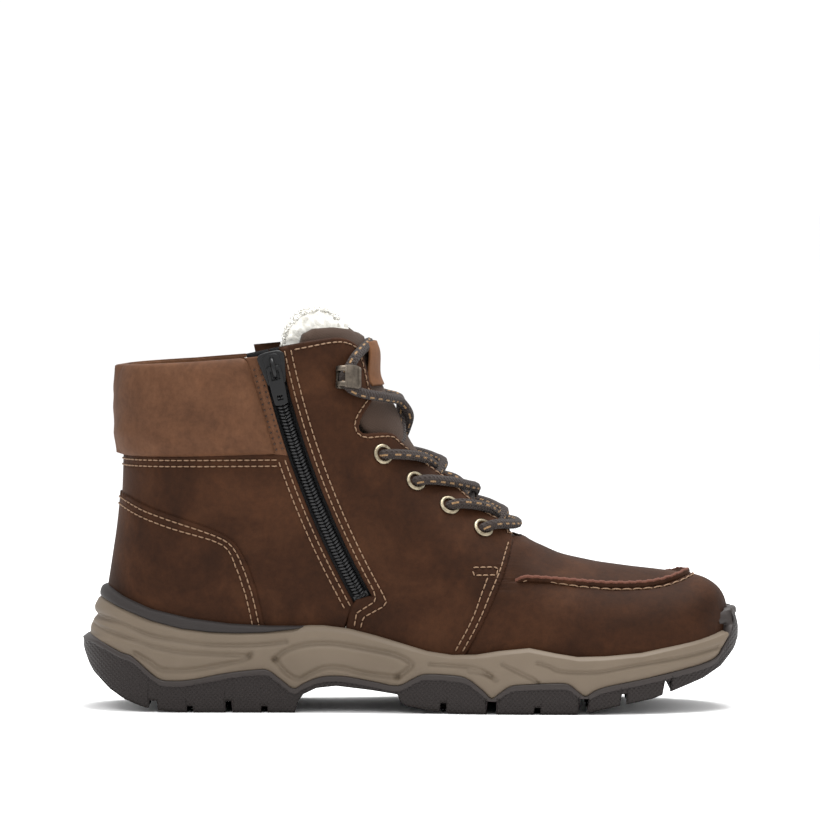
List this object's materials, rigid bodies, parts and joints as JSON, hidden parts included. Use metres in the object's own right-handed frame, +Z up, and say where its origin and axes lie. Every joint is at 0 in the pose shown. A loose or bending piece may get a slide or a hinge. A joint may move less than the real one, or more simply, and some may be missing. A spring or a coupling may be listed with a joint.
{
  "type": "winter boot",
  "caption": "Left lace-up ankle boot with fleece lining, padded collar, inner side zip and lugged rubber sole",
  "frame": {"origin": "middle of the boot's bounding box, on the ground under the sole", "axes": "+X towards the toe, +Y towards the outer side of the foot, +Z up"},
  "size_m": [0.302, 0.1054, 0.184],
  "materials": {
    "outsole": "matt",
    "midsole": "matt foam",
    "rand": "matt",
    "shank": "plain",
    "board": "fibreboard",
    "fleece": "pile",
    "leather": "waxed nubuck",
    "collar_leather": "soft nubuck",
    "foam": "foam",
    "stiffener": "plain",
    "softshell": "woven",
    "label_leather": "smooth",
    "gunmetal": "antique",
    "tape": "woven",
    "zip_plastic": "moulded",
    "zip_metal": "satin black",
    "lace": "braided",
    "eyelet_brass": "antique"
  },
  "bodies": {
    "boot": {"outsole": "outsole", "midsole": "midsole", "heel_rand": "rand", "steel_shank": "shank", "insole_board": "board", "footbed": "fleece", "vamp": "leather", "front_quarter_inner": "leather", "front_quarter_outer": "leather", "side_panel": "leather", "heel_overlay": "leather", "collar_cover": "collar_leather", "zip_facing": "collar_leather", "collar_foam": "foam", "heel_counter": "stiffener", "toe_puff": "stiffener", "fleece_lining": "fleece", "tongue": "softshell", "tongue_lining": "fleece", "tongue_label": "label_leather", "hook_inner": "gunmetal", "hook_outer": "gunmetal", "hook_rivet_inner": "gunmetal", "hook_rivet_outer": "gunmetal", "zip_tape_rear": "tape", "zip_tape_front": "tape", "zip_coil_rear": "zip_plastic", "zip_coil_front": "zip_plastic", "zip_top_stop_rear": "zip_plastic", "zip_top_stop_front": "zip_plastic", "zip_bottom_stop": "zip_plastic", "zip_guard": "fleece", "lace": "lace", "aglet_inner": "gunmetal", "aglet_outer": "gunmetal", "eyelet_inner_1": "eyelet_brass", "eyelet_inner_2": "eyelet_brass", "eyelet_inner_3": "eyelet_brass", "eyelet_inner_4": "eyelet_brass", "eyelet_outer_1": "eyelet_brass", "eyelet_outer_2": "eyelet_brass", "eyelet_outer_3": "eyelet_brass", "eyelet_outer_4": "eyelet_brass"},
    "slider": {"zip_slider": "zip_metal"},
    "pull": {"zip_pull": "zip_metal"}
  },
  "joints": [
    {"name": "zip_run", "type": "hinge", "parent": "boot", "child": "slider", "pos_m": [0.33155, -0.02399, 0.24891], "axis": [0.0552, -0.9979, -0.034], "range_deg": [0, 13.9]},
    {"name": "pull_pivot", "type": "hinge", "parent": "slider", "child": "pull", "pos_m": [-0.06235, -0.0476, 0.15785], "axis": [-0.9734, -0.0462, -0.2245], "range_deg": [0, 150]}
  ]
}
